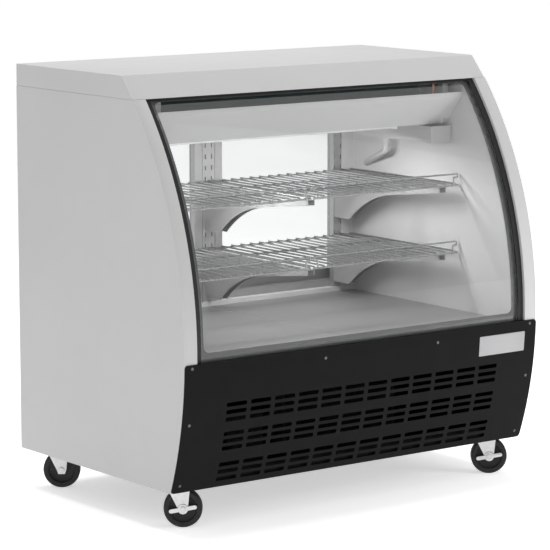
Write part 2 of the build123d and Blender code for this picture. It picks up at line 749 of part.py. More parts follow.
def build_drain():
    """Trough under the pan, and the pipe that leads its water into the side wall."""
    low, high = TROUGH_LOW, TROUGH_HIGH
    pipe_x = 478.0
    with BuildPart() as trough:
        add(block(low, high))
        add(
            block((low[0] + 2, low[1] + 2, low[2] + 2), (high[0] - 2, high[1] - 2, high[2] + 1)),
            mode=Mode.SUBTRACT,
        )
        add(block((low[0] - 3, low[1] - 3, high[2] - 2), (high[0] + 3, high[1], high[2])))
        add(
            block((low[0] + 2, low[1] + 2, high[2] - 3), (high[0] - 2, high[1] - 2, high[2] + 1)),
            mode=Mode.SUBTRACT,
        )
        with BuildSketch(Plane.XY.offset(low[2] - 1)):
            with Locations((pipe_x, 119)):
                Circle(PIPE_R - 2)
        extrude(amount=5, mode=Mode.SUBTRACT)
    save(trough.part, "drain_trough")

    with BuildPart() as pipe:
        with BuildLine() as route:
            FilletPolyline((pipe_x, 119, low[2]), (pipe_x, 119, 888), (LINER_X, 270, 836), radius=22)
        with BuildSketch(Plane.XY.offset(low[2])):
            with Locations((pipe_x, 119)):
                Circle(PIPE_R)
        sweep(path=route.line)
        with BuildSketch(Plane.XY.offset(low[2])):
            with Locations((pipe_x, 119)):
                Circle(PIPE_R + 3)
        extrude(amount=-16)
        with BuildSketch(Plane.XY.offset(low[2] + 1)):
            with Locations((pipe_x, 119)):
                Circle(PIPE_R - 2)
        extrude(amount=-30, mode=Mode.SUBTRACT)
        with BuildSketch(Plane.YZ.offset(LINER_X)):
            with Locations((270, 836)):
                Rectangle(80, 80)
        extrude(amount=40, mode=Mode.SUBTRACT)
    save(pipe.part, "drain_pipe")


def build_light():
    """LED tube under the pan, behind its front edge, in two end clips."""
    y, z, radius = 30.0, 970.0, 8.0
    x_low, x_high = -505.0, 430.0
    with BuildPart() as tube:
        with BuildSketch(Plane.YZ.offset(x_low)):
            with Locations((y, z)):
                Circle(radius)
        extrude(amount=x_high - x_low)
        for x in (x_low - 6, x_high):
            add(block((x, y - 10, z - 10), (x + 6, y + 10, PAN_FLOOR - 3.5)))
    save(tube.part, "led_light")


# ---------------------------------------------------------------- machine compartment
def build_machinery():
    """Condenser with its fan, compressor and the tray that evaporates the drain water."""
    low, high = CONDENSER_LOW, CONDENSER_HIGH
    middle_z = (low[2] + high[2]) / 2
    with BuildPart() as condenser:
        add(block(low, high))
    save(condenser.part, "condenser_coil")

    fan_y = high[1] + 22.0
    fan_plane = Plane(origin=(0, fan_y, middle_z), x_dir=(1, 0, 0), z_dir=(0, 1, 0))
    save(fan_rotor(fan_plane, CONDENSER_FAN_R, 26, 24, 5, 4 + RUNNING), "condenser_fan")

    with BuildPart() as stand:
        add(block((low[0], high[1], BASE_BOTTOM + 3), (high[0], high[1] + 42, high[2])))
        add(
            block((low[0] + 2, high[1] - 1, BASE_BOTTOM + 5), (high[0] - 2, high[1] + 40, high[2] - 2)),
            mode=Mode.SUBTRACT,
        )
        with BuildSketch(Plane.XZ.offset(-(high[1] + 38))):
            with Locations((0, middle_z)):
                Circle(CONDENSER_FAN_R + 6)
        extrude(amount=-8, mode=Mode.SUBTRACT)
        add(block((low[0], low[1], BASE_BOTTOM + 3), (high[0], high[1], low[2])))
        with BuildSketch(Plane.XZ.offset(-(fan_y + 30))):
            with Locations((0, middle_z)):
                Circle(40)
        extrude(amount=-62)
        with BuildSketch(Plane.XZ.offset(-(fan_y + 1))):
            with Locations((0, middle_z)):
                Circle(4)
        extrude(amount=-30)
        add(block((-30, fan_y + 40, BASE_BOTTOM + 3), (30, fan_y + 80, middle_z - 30)))
    save(stand.part, "condenser_mount")

    with BuildPart() as compressor:
        with BuildSketch(Plane.XY.offset(BASE_BOTTOM + 21)):
            with Locations((330, 60)):
                Ellipse(92, 78)
        extrude(amount=168)
        fillet(compressor.faces().sort_by(Axis.Z)[-1].edges(), radius=48)
        fillet(compressor.faces().sort_by(Axis.Z)[0].edges(), radius=18)
        add(block((225, -20, BASE_BOTTOM + 15), (435, 140, BASE_BOTTOM + 21)))
        with BuildSketch(Plane.XY.offset(BASE_BOTTOM + 3)):
            with Locations((330, 60)):
                with GridLocations(180, 130, 2, 2):
                    Circle(13)
        extrude(amount=12)
        with BuildSketch(Plane.YZ.offset(300)):
            with Locations((60, 230)):
                Rectangle(50, 60)
        extrude(amount=140)
    save(compressor.part, "compressor")

    with BuildPart() as tray:
        add(block((-430, 20, BASE_BOTTOM + 3), (-170, 300, 200)))
        add(block((-427, 23, BASE_BOTTOM + 6), (-173, 297, 201)), mode=Mode.SUBTRACT)
    save(tray.part, "condensate_tray")


# ---------------------------------------------------------------- casters
def caster_plane(spot, z=0.0):
    """Plane at a caster's swivel axis: X along the trail, Y along the axle."""
    turn = math.radians(CASTER_TURN)
    x, y = CASTER_SPOTS[spot]
    return Plane(origin=(x, y, z), x_dir=(math.cos(turn), math.sin(turn), 0), z_dir=(0, 0, 1))


def axle_plane(spot, offset_y):
    """Plane across a caster's axle, offset along it; its X is the trail and its Y is up."""
    base = caster_plane(spot)
    centre = base.from_local_coords((TRAIL, offset_y, WHEEL_R))
    return Plane(origin=centre, x_dir=base.x_dir, z_dir=-base.y_dir)


def build_caster_plates():
    """Four bolted top plates with the fixed half of the swivel bearing."""
    with BuildPart() as plates:
        for x, y in CASTER_SPOTS.values():
            with BuildSketch(Plane.XY.offset(BASE_BOTTOM - 4)):
                with Locations((x, y)):
                    RectangleRounded(100, 84, 8)
            extrude(amount=4)
            with BuildSketch(Plane.XY.offset(BASE_BOTTOM - 8)):
                with Locations((x, y)):
                    Circle(29)
            extrude(amount=4)
            with BuildSketch(Plane.XY.offset(BASE_BOTTOM - 9)):
                with Locations((x, y)):
                    with GridLocations(76, 60, 2, 2):
                        RegularPolygon(6.5, 6)
            extrude(amount=5)
            with BuildSketch(Plane.XY.offset(BASE_BOTTOM - 10)):
                with Locations((x, y)):
                    Circle(KINGPIN_R + RUNNING)
            extrude(amount=12, mode=Mode.SUBTRACT)
    save(plates.part, "caster_plates")


def build_fork(spot):
    """Swivel fork with its kingpin and axle."""
    plate_top = BASE_BOTTOM - 8.3
    crown = 108.0
    brake_side = 30.0 if spot.startswith("front") else 26.0
    with BuildPart() as fork:
        with BuildSketch(caster_plane(spot, crown)):
            Circle(28)
        extrude(amount=plate_top - crown)
        with BuildSketch(caster_plane(spot, plate_top)):
            Circle(KINGPIN_R)
        extrude(amount=BASE_BOTTOM - 0.5 - plate_top)
        with BuildSketch(caster_plane(spot, crown)):
            RectangleRounded(62, 2 * (FORK_INNER + FORK_SHEET), 4)
        extrude(amount=4)
        for start in (-FORK_INNER, FORK_INNER + FORK_SHEET):
            with BuildSketch(axle_plane(spot, start)):
                with BuildLine():
                    Polyline(
                        (-31 - TRAIL, crown - WHEEL_R + 4), (31 - TRAIL, crown - WHEEL_R + 4),
                        (13, 0), (9, -11), (-9, -11), (-13, 0), close=True,
                    )
                make_face()
            extrude(amount=FORK_SHEET)
        with BuildSketch(axle_plane(spot, 26)):
            Circle(AXLE_R)
        extrude(amount=26 + brake_side)
        with BuildSketch(axle_plane(spot, 26)):
            RegularPolygon(8, 6)
        extrude(amount=26 - FORK_INNER - FORK_SHEET)
        with BuildSketch(axle_plane(spot, -brake_side)):
            Circle(7.5)
        extrude(amount=-3.5)
    save(fork.part, f"{spot}_fork")


def build_wheel(spot):
    """Wheel with a rounded tread and a recessed web."""
    half = WHEEL_WIDTH / 2
    with BuildPart() as wheel:
        with BuildSketch(axle_plane(spot, half)):
            Circle(WHEEL_R)
        extrude(amount=WHEEL_WIDTH)
        rims = wheel.edges().filter_by(GeomType.CIRCLE)
        fillet(rims, radius=7)
        for start, amount in ((half, 6), (-half, -6)):
            with BuildSketch(axle_plane(spot, start)):
                Circle(36)
                Circle(13, mode=Mode.SUBTRACT)
            extrude(amount=amount, mode=Mode.SUBTRACT)
        with BuildSketch(axle_plane(spot, half + 1)):
            Circle(AXLE_R + RUNNING)
        extrude(amount=WHEEL_WIDTH + 2, mode=Mode.SUBTRACT)
    save(wheel.part, f"{spot}_wheel")


def build_brake(spot):
    """Toe lever of a front caster's brake, rocking on the axle."""
    with BuildPart() as brake:
        with BuildSketch(axle_plane(spot, -FORK_INNER - FORK_SHEET - 0.5)):
            Circle(13)
            with Locations(Location((0, 0), 10)):
                SlotOverall(74, 11)
            Circle(AXLE_R + RUNNING, mode=Mode.SUBTRACT)
        extrude(amount=3.5)
    save(brake.part, f"{spot}_brake")


def main():
    """Build and write every sub-part."""
    for side, word in ((-1, "left"), (1, "right")):
        build_side_panel(f"{word}_side_panel", side)
        build_wall_liner(f"{word}_wall_liner", side)
        build_deck_pan(f"{word}_deck_pan", side)
        for level, top in SHELF_LEVELS.items():
            build_shelf(f"{level}_{word}_shelf", side, top)
    build_door(-1, DOOR_INNER_Y)
    build_door(1, DOOR_OUTER_Y)
    build_top_cap()
    build_cabinet_floor()
    build_base_frame()
    build_front_panel()
    build_front_panel_screws()
    build_badge_plate()
    build_front_glass()
    build_glass_border()
    build_glass_gasket()
    build_glass_rail()
    build_rear_frame()
    build_slotted_posts()
    build_door_tracks()
    build_rear_grille()
    build_controls()
    build_shelf_brackets()
    build_drip_pan()
    build_evaporator()
    build_evaporator_fans()
    build_drain()
    build_light()
    build_machinery()
    build_caster_plates()
    for spot in CASTER_SPOTS:
        build_fork(spot)
        build_wheel(spot)
    for spot in ("front_left", "front_right"):
        build_brake(spot)


main()
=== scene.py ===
"""Dresses the refrigerated bakery display case: finishes, fine pieces, studio and camera, in metres."""

import json
import logging
import math
from dataclasses import dataclass
from enum import Enum

import bmesh
import bpy
from bpy.types import Material, Node, NodeSocket, Object
from mathutils import Matrix, Vector

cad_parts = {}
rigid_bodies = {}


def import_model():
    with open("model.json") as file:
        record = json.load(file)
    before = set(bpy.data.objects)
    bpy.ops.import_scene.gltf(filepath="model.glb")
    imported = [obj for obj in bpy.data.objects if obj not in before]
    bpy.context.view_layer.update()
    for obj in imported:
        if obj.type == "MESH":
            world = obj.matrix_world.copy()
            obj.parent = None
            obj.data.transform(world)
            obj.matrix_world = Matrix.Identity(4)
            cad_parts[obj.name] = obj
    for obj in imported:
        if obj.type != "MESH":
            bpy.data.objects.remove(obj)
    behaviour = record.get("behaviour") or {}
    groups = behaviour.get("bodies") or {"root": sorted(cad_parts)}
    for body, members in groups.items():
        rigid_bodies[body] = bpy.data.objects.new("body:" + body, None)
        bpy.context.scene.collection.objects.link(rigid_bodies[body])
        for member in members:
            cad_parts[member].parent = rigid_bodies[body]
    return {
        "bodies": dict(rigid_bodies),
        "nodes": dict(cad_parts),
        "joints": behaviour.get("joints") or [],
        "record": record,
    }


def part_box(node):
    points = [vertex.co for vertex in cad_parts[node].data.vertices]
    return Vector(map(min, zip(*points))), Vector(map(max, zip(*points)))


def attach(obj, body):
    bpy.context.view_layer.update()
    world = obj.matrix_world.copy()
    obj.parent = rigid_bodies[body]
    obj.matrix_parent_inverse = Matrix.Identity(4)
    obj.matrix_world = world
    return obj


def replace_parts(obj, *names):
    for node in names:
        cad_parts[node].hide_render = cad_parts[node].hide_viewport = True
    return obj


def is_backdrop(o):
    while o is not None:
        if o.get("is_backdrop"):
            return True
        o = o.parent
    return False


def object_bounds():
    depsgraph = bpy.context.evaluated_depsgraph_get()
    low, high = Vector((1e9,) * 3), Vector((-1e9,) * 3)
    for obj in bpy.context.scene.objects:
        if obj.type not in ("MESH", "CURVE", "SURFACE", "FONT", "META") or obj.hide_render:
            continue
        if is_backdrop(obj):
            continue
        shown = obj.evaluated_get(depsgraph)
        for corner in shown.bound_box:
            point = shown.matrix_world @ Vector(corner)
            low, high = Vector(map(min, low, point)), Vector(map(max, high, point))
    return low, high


LOG = logging.getLogger("display_case")
MM = 0.001
WELD_REACH = 0.00001
FLAT_ANGLE = math.radians(0.2)
SHARP_ANGLE = math.radians(40)

Colour = tuple[float, float, float]
Point = tuple[float, float, float]


# ---------------------------------------------------------------- finishes
class Grain(Enum):
    """Which way the fine scratches of a brushed sheet run, as the size of one scratch along X, Y and Z."""

    ALONG_X = (0.09, 0.0006, 0.0006)
    ALONG_Z = (0.0006, 0.0006, 0.09)


class Recipe:
    """Node tree of one material, with its surface shader at hand."""

    def __init__(self, name: str, colour: Colour, roughness: float, metallic: float = 0.0) -> None:
        """Start a material with plain values on its shader.

        Args:
            name: The material's name.
            colour: Linear base colour.
            roughness: Roughness before any pattern.
            metallic: 1 for bare metal, 0 for paint, plastic and rubber.
        """
        self.material: Material = bpy.data.materials.new(name)
        self.material.use_nodes = True
        self.material.diffuse_color = (*colour, 1.0)
        self.tree = self.material.node_tree
        self.shader: Node = self.tree.nodes["Principled BSDF"]
        self.colour = colour
        self.set("Base Color", (*colour, 1.0))
        self.set("Roughness", roughness)
        self.set("Metallic", metallic)

    def set(self, socket: str, value: float | tuple[float, ...]) -> None:
        """Set a plain value on the shader."""
        self.shader.inputs[socket].default_value = value

    def node(self, kind: str, **inputs: float | tuple[float, ...]) -> Node:
        """Add a node and set its inputs.

        Args:
            kind: Blender's name of the node type.
            **inputs: Input values by name, with underscores for spaces.

        Returns:
            The node.
        """
        made = self.tree.nodes.new(kind)
        for name, value in inputs.items():
            made.inputs[name.replace("_", " ")].default_value = value
        return made

    def link(self, source: NodeSocket, target: NodeSocket) -> None:
        """Join two sockets."""
        self.tree.links.new(source, target)

    def noise(self, cell: Point, detail: float = 2.0) -> NodeSocket:
        """Noise whose features have the given size in metres along each axis.

        Args:
            cell: Size of one feature along X, Y and Z.
            detail: How many finer layers are added.

        Returns:
            The noise's value, about 0 to 1.
        """
        place = self.tree.nodes.new("ShaderNodeTexCoord")
        scale = self.tree.nodes.new("ShaderNodeMapping")
        scale.inputs["Scale"].default_value = [1.0 / size for size in cell]
        noise = self.node("ShaderNodeTexNoise", Scale=1.0, Detail=detail, Roughness=0.55)
        self.link(place.outputs["Object"], scale.inputs["Vector"])
        self.link(scale.outputs["Vector"], noise.inputs["Vector"])
        return noise.outputs["Fac"]

    def spread(self, source: NodeSocket, low: float, high: float) -> NodeSocket:
        """Stretch a noise's middle range to run from low to high.

        Args:
            source: The noise.
            low: Value at the noise's low end.
            high: Value at its high end.

        Returns:
            The stretched value.
        """
        ranged = self.tree.nodes.new("ShaderNodeMapRange")
        for name, value in (("From Min", 0.3), ("From Max", 0.7), ("To Min", low), ("To Max", high)):
            ranged.inputs[name].default_value = value
        self.link(source, ranged.inputs["Value"])
        return ranged.outputs["Result"]

    def mottle(self, source: NodeSocket, amount: float) -> None:
        """Vary the base colour's lightness.

        Args:
            source: The pattern.
            amount: Share by which the colour goes darker and lighter.
        """
        mix = self.tree.nodes.new("ShaderNodeMix")
        mix.data_type = "RGBA"
        mix.inputs["A"].default_value = (*(min(1.0, c * (1 - amount)) for c in self.colour), 1.0)
        mix.inputs["B"].default_value = (*(min(1.0, c * (1 + amount)) for c in self.colour), 1.0)
        self.link(self.spread(source, 0.0, 1.0), mix.inputs["Factor"])
        self.link(mix.outputs["Result"], self.shader.inputs["Base Color"])

    def roughen(self, source: NodeSocket, low: float, high: float) -> None:
        """Drive the roughness between two values."""
        self.link(self.spread(source, low, high), self.shader.inputs["Roughness"])

    def emboss(self, source: NodeSocket, height: float) -> None:
        """Raise the surface by a pattern.

        Args:
            source: The pattern.
            height: The pattern's full height in metres.
        """
        bump = self.node("ShaderNodeBump", Strength=1.0, Distance=height)
        self.link(source, bump.inputs["Height"])
        self.link(bump.outputs["Normal"], self.shader.inputs["Normal"])


@dataclass(frozen=True)
class PowderCoat:
    """Baked powder paint with a fine orange-peel skin."""

    name: str
    colour: Colour
    roughness: float
    peel: float = 0.000012
    gloss: float = 0.5

    def build(self) -> Material:
        """Make the material.

        Returns:
            The finished material.
        """
        recipe = Recipe(self.name, self.colour, self.roughness)
        recipe.set("Specular IOR Level", self.gloss)
        recipe.mottle(recipe.noise((0.35, 0.35, 0.35), 3.0), 0.02)
        recipe.roughen(recipe.noise((0.05, 0.05, 0.05), 4.0), self.roughness - 0.04, self.roughness + 0.05)
        recipe.emboss(recipe.noise((0.0016, 0.0016, 0.0016), 2.0), self.peel)
        return recipe.material


@dataclass(frozen=True)
class BrushedSheet:
    """Stainless or aluminium sheet with straight fine scratches."""

    name: str
    colour: Colour
    roughness: float
    grain: Grain
    metallic: float = 1.0
    depth: float = 0.000004

    def build(self) -> Material:
        """Make the material.

        Returns:
            The finished material.
        """
        recipe = Recipe(self.name, self.colour, self.roughness, self.metallic)
        scratches = recipe.noise(self.grain.value, 5.0)
        recipe.mottle(scratches, 0.06)
        recipe.roughen(recipe.noise(self.grain.value, 3.0), self.roughness - 0.06, self.roughness + 0.08)
        recipe.emboss(scratches, self.depth)
        return recipe.material


@dataclass(frozen=True)
class ZincPlate:
    """Bright zinc on pressed steel, clouded by handling."""

    name: str
    colour: Colour
    roughness: float

    def build(self) -> Material:
        """Make the material.

        Returns:
            The finished material.
        """
        recipe = Recipe(self.name, self.colour, self.roughness, 1.0)
        clouds = recipe.noise((0.012, 0.012, 0.012), 5.0)
        recipe.mottle(clouds, 0.12)
        recipe.roughen(clouds, self.roughness - 0.08, self.roughness + 0.12)
        recipe.emboss(recipe.noise((0.0008, 0.0008, 0.0008), 3.0), 0.000008)
        return recipe.material


@dataclass(frozen=True)
class PlatedWire:
    """Bright plated wire, drawn smooth, with faint clouding."""

    name: str
    colour: Colour
    roughness: float

    def build(self) -> Material:
        """Make the material.

        Returns:
            The finished material.
        """
        recipe = Recipe(self.name, self.colour, self.roughness, 1.0)
        recipe.mottle(recipe.noise((0.02, 0.02, 0.02), 3.0), 0.05)
        recipe.roughen(recipe.noise((0.006, 0.006, 0.006), 3.0), self.roughness - 0.05, self.roughness + 0.06)
        recipe.emboss(recipe.noise((0.0007, 0.0007, 0.0007), 2.0), 0.000004)
        return recipe.material


@dataclass(frozen=True)
class Moulded:
    """Moulded plastic with a fine spark-eroded texture."""

    name: str
    colour: Colour
    roughness: float
    texture: float = 0.00001

    def build(self) -> Material:
        """Make the material.

        Returns:
            The finished material.
        """
        recipe = Recipe(self.name, self.colour, self.roughness)
        recipe.mottle(recipe.noise((0.03, 0.03, 0.03), 3.0), 0.04)
        recipe.roughen(recipe.noise((0.004, 0.004, 0.004), 3.0), self.roughness - 0.04, self.roughness + 0.06)
        recipe.emboss(recipe.noise((0.0006, 0.0006, 0.0006), 2.0), self.texture)
        return recipe.material


@dataclass(frozen=True)
class Rubber:
    """Black rubber, mottled with dust."""

    name: str
    colour: Colour
    roughness: float
    dust: float

    def build(self) -> Material:
        """Make the material.

        Returns:
            The finished material.
        """
        recipe = Recipe(self.name, self.colour, self.roughness)
        recipe.set("Specular IOR Level", 0.35)
        recipe.mottle(recipe.noise((0.009, 0.009, 0.009), 5.0), self.dust)
        recipe.roughen(recipe.noise((0.005, 0.005, 0.005), 4.0), self.roughness - 0.08, self.roughness + 0.08)
        recipe.emboss(recipe.noise((0.0009, 0.0009, 0.0009), 3.0), 0.00002)
        return recipe.material


@dataclass(frozen=True)
class ClearGlass:
    """Clear glass sheet: seen straight through, with gloss that grows at a slant."""

    name: str
    tint: Colour
    gloss: float

    def build(self) -> Material:
        """Make the material.

        Returns:
            The finished material.
        """
        recipe = Recipe(self.name, self.tint, 0.02)
        nodes = recipe.tree.nodes
        clear = nodes.new("ShaderNodeBsdfTransparent")
        clear.inputs["Color"].default_value = (*self.tint, 1.0)
        sheen = nodes.new("ShaderNodeBsdfGlossy")
        sheen.inputs["Roughness"].default_value = 0.03
        fresnel = nodes.new("ShaderNodeFresnel")
        fresnel.inputs["IOR"].default_value = 1.45
        weaker = nodes.new("ShaderNodeMath")
        weaker.operation = "MULTIPLY"
        weaker.inputs[1].default_value = self.gloss
        mix = nodes.new("ShaderNodeMixShader")
        recipe.link(fresnel.outputs["Fac"], weaker.inputs[0])
        recipe.link(weaker.outputs["Value"], mix.inputs["Fac"])
        recipe.link(clear.outputs["BSDF"], mix.inputs[1])
        recipe.link(sheen.outputs["BSDF"], mix.inputs[2])
        recipe.link(mix.outputs["Shader"], nodes["Material Output"].inputs["Surface"])
        nodes.remove(recipe.shader)
        return recipe.material


@dataclass(frozen=True)
class FrostedLamp:
    """Frosted tube over small lamps, faintly lit."""

    name: str
    colour: Colour
    glow: float

    def build(self) -> Material:
        """Make the material.

        Returns:
            The finished material.
        """
        recipe = Recipe(self.name, self.colour, 0.3)
        recipe.set("Emission Color", (*self.colour, 1.0))
        recipe.set("Emission Strength", self.glow)
        recipe.roughen(recipe.noise((0.004, 0.004, 0.004), 3.0), 0.25, 0.4)
        recipe.emboss(recipe.noise((0.0008, 0.0008, 0.0008), 2.0), 0.00001)
        return recipe.material


FINISHES = {
    "casing_paint": PowderCoat("casing_paint", (0.49, 0.49, 0.487), 0.42),
    "black_paint": PowderCoat("black_paint", (0.008, 0.008, 0.0084), 0.55, peel=0.00002, gloss=0.07),
    # Painted shade: the base frame, condenser mount and base skirt are near-black so the machine compartment seen
    # through the front slots reads as unlit.
    "frame_black": PowderCoat("frame_black", (0.006, 0.006, 0.006), 0.6, gloss=0.1),
    "liner_white": PowderCoat("liner_white", (0.68, 0.68, 0.675), 0.42),
    "bracket_paint": PowderCoat("bracket_paint", (0.42, 0.42, 0.415), 0.4),
    "compressor_black": PowderCoat("compressor_black", (0.01, 0.01, 0.01), 0.45, gloss=0.2),
    "zinc": ZincPlate("zinc", (0.62, 0.63, 0.62), 0.34),
    "brake_steel": ZincPlate("brake_steel", (0.66, 0.66, 0.65), 0.32),
    "screw_steel": ZincPlate("screw_steel", (0.16, 0.16, 0.16), 0.35),
    "post_steel": BrushedSheet("post_steel", (0.5, 0.5, 0.5), 0.36, Grain.ALONG_Z, 0.6),
    "deck_steel": BrushedSheet("deck_steel", (0.39, 0.39, 0.39), 0.42, Grain.ALONG_X, 0.5),
    "badge": BrushedSheet("badge", (0.36, 0.36, 0.365), 0.4, Grain.ALONG_X, 0.3),
    "door_aluminium": BrushedSheet("door_aluminium", (0.36, 0.36, 0.37), 0.36, Grain.ALONG_Z, 0.7),
    "rail_aluminium": BrushedSheet("rail_aluminium", (0.3, 0.3, 0.3), 0.4, Grain.ALONG_X, 0.7),
    "coil_fins": BrushedSheet("coil_fins", (0.11, 0.23, 0.21), 0.5, Grain.ALONG_Z, 0.2),
    # Painted shade: the condenser's fins and tubes are near-black, standing in for the unlit machine compartment
    # seen through the front slots.
    "condenser_fins": BrushedSheet("condenser_fins", (0.012, 0.012, 0.012), 0.55, Grain.ALONG_Z, 0.2),
    "copper": BrushedSheet("copper", (0.66, 0.33, 0.21), 0.3, Grain.ALONG_X),
    "shelf_wire": PlatedWire("shelf_wire", (0.56, 0.565, 0.57), 0.3),
    "black_plastic": Moulded("black_plastic", (0.02, 0.02, 0.02), 0.5),
    "fan_plastic": Moulded("fan_plastic", (0.03, 0.03, 0.033), 0.42),
    "control_plastic": Moulded("control_plastic", (0.022, 0.022, 0.025), 0.48),
    "switch_plastic": Moulded("switch_plastic", (0.03, 0.2, 0.05), 0.22, 0.000002),
    "track_plastic": Moulded("track_plastic", (0.3, 0.3, 0.295), 0.45),
    "drain_plastic": Moulded("drain_plastic", (0.56, 0.56, 0.56), 0.4),
    "motor_plastic": Moulded("motor_plastic", (0.3, 0.3, 0.3), 0.5),
    "glass_print": Moulded("glass_print", (0.125, 0.128, 0.13), 0.3, 0.000002),
    "seal_rubber": Rubber("seal_rubber", (0.018, 0.018, 0.018), 0.55, 0.1),
    "button_rubber": Rubber("button_rubber", (0.1, 0.1, 0.1), 0.6, 0.1),
    "wheel_rubber": Rubber("wheel_rubber", (0.012, 0.012, 0.012), 0.48, 0.35),
    "front_glass": ClearGlass("front_glass", (0.985, 0.99, 0.988), 0.3),
    "door_glass": ClearGlass("door_glass", (0.985, 0.99, 0.988), 0.6),
    "lamp_plastic": FrostedLamp("lamp_plastic", (0.92, 0.93, 0.94), 0.15),
}


class Paintshop:
    """Makes each finish once and dresses pieces and CAD nodes with it."""

    def __init__(self, record: dict) -> None:
        """Keep the record's list of which node has which slot.

        Args:
            record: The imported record.
        """
        self.slot_of: dict[str, str] = {part["node"]: part["material_slot"] for part in record["subparts"]}
        self.made: dict[str, Material] = {}

    def material(self, slot: str) -> Material:
        """The finish of one material slot, made on first use.

        Args:
            slot: The slot's name.

        Returns:
            The material.
        """
        if slot not in self.made:
            self.made[slot] = FINISHES[slot].build()
        return self.made[slot]

    def dress(self, piece: Object, slot: str) -> None:
        """Give a mesh one finish all over."""
        piece.data.materials.clear()
        piece.data.materials.append(self.material(slot))

    def dress_nodes(self, nodes: dict[str, Object]) -> None:
        """Give every CAD node the finish of its slot.

        Args:
            nodes: The CAD nodes by name.
        """
        for name, node in nodes.items():
            self.dress(node, self.slot_of[name])


# ---------------------------------------------------------------- making meshes
class Stock:
    """A mesh being made from raw shapes, all in the case's own frame."""

    def __init__(self) -> None:
        """Start empty."""
        self.mesh = bmesh.new()

    def block(self, low: Vector, high: Vector) -> None:
        """Add a plain block between two corners.

        Args:
            low: The lowest corner.
            high: The highest corner.
        """
        size = [high[i] - low[i] for i in range(3)]
        middle = [(high[i] + low[i]) / 2 for i in range(3)]
        matrix = Matrix.Translation(middle) @ Matrix.Diagonal((*size, 1.0))
        bmesh.ops.create_cube(self.mesh, size=1.0, matrix=matrix)

    def tube(self, path: list[Vector], radius: float, sides: int = 12) -> None:
        """Sweep a round bar along a path, with domed ends.

        Args:
            path: Points of the centre line.
            radius: The bar's radius.
            sides: Facets around the bar.
        """
        rings = []
        along = (path[1] - path[0]).normalized()
        side = along.orthogonal().normalized()
        stations = [(path[0], -1, 0.45), *((p, 0, 1.0) for p in path), (path[-1], 1, 0.45)]
        for i, (centre, end, share) in enumerate(stations):
            at = min(max(i - 1, 0), len(path) - 1)
            ahead = path[min(at + 1, len(path) - 1)] - path[max(at - 1, 0)]
            along = ahead.normalized()
            side = (side - along * side.dot(along)).normalized()
            up = along.cross(side)
            centre = centre + along * (end * radius * 0.5)
            ring = []
            for k in range(sides):
                turn = math.tau * k / sides
                offset = (side * math.cos(turn) + up * math.sin(turn)) * radius * share
                ring.append(self.mesh.verts.new(centre + offset))
            rings.append(ring)
        for a, b in zip(rings, rings[1:]):
            for k in range(sides):
                self.mesh.faces.new((a[k], a[(k + 1) % sides], b[(k + 1) % sides], b[k]))
        self.mesh.faces.new(list(reversed(rings[0])))
        self.mesh.faces.new(rings[-1])

    def lathe(self, profile: list[tuple[float, float]], frame: Matrix, steps: int = 64) -> None:
        """Turn a closed profile about the frame's Z axis.

        Args:
            profile: Radius and height of each corner, in order round the section.
            frame: Places the axis.
            steps: Facets around the axis.
        """
        rings = []
        for k in range(steps):
            turn = math.tau * k / steps
            spot = [frame @ Vector((r * math.cos(turn), r * math.sin(turn), h)) for r, h in profile]
            rings.append([self.mesh.verts.new(p) for p in spot])
        count = len(profile)
        for k in range(steps):
            a, b = rings[k], rings[(k + 1) % steps]
            for j in range(count):
                self.mesh.faces.new((a[j], b[j], b[(j + 1) % count], a[(j + 1) % count]))

    def strip(self, section: list[tuple[float, float]], left: float, right: float) -> None:
        """Run a closed section along X, with flat ends.

        Args:
            section: Y and Z of each corner, in order.
            left: X of one end.
            right: X of the other end.
        """
        ends = [[self.mesh.verts.new((x, y, z)) for y, z in section] for x in (left, right)]
        for i in range(len(section)):
            j = (i + 1) % len(section)
            self.mesh.faces.new((ends[0][i], ends[1][i], ends[1][j], ends[0][j]))
        for end in ends:
            self.mesh.faces.new(end)

    def piece(self, name: str, smooth_angle: float = 35.0) -> Object:
        """Finish the mesh as an object with clean outward faces.

        Args:
            name: The piece's name.
            smooth_angle: Edges sharper than this, in degrees, stay sharp.

        Returns:
            The new object, linked to the scene.
        """
        bmesh.ops.recalc_face_normals(self.mesh, faces=self.mesh.faces[:])
        for face in self.mesh.faces:
            face.smooth = True
        for edge in self.mesh.edges:
            if len(edge.link_faces) == 2 and edge.calc_face_angle(0.0) > math.radians(smooth_angle):
                edge.smooth = False
        data = bpy.data.meshes.new(name)
        self.mesh.to_mesh(data)
        self.mesh.free()
        made = bpy.data.objects.new(name, data)
        bpy.context.scene.collection.objects.link(made)
        return made


def rounded(corners: list[Vector], radius: float, steps: int = 6) -> list[Vector]:
    """A bent wire's centre line: straight runs with a round bend at each corner.

    Args:
        corners: The corners, the two ends included.
        radius: Bend radius.
        steps: Points along each bend.

    Returns:
        The points of the line.
    """
    line = [corners[0]]
    for before, corner, after in zip(corners, corners[1:], corners[2:]):
        back = (before - corner).normalized()
        ahead = (after - corner).normalized()
        half = back.angle(ahead) / 2
        run = radius / math.tan(half)
        centre = corner + (back + ahead).normalized() * (radius / math.sin(half))
        start = corner + back * run - centre
        end = corner + ahead * run - centre
        sweep = math.pi - 2 * half
        for i in range(steps + 1):
            part = sweep * i / steps
            line.append(centre + (start * math.sin(sweep - part) + end * math.sin(part)) / math.sin(sweep))
    line.append(corners[-1])
    return line


def soften(node: Object, width: float) -> None:
    """Break a CAD node's sharp edges with a small round, without touching its mesh.

    Args:
        node: The CAD node.
        width: Width of the round.
    """
    weld = node.modifiers.new("weld", "WELD")
    weld.merge_threshold = WELD_REACH
    flat = node.modifiers.new("flat", "DECIMATE")
    flat.decimate_type = "DISSOLVE"
    flat.angle_limit = FLAT_ANGLE
    edge = node.modifiers.new("edge", "BEVEL")
    edge.width = width
    edge.segments = 2
    edge.limit_method = "ANGLE"
    edge.angle_limit = SHARP_ANGLE
    edge.harden_normals = True


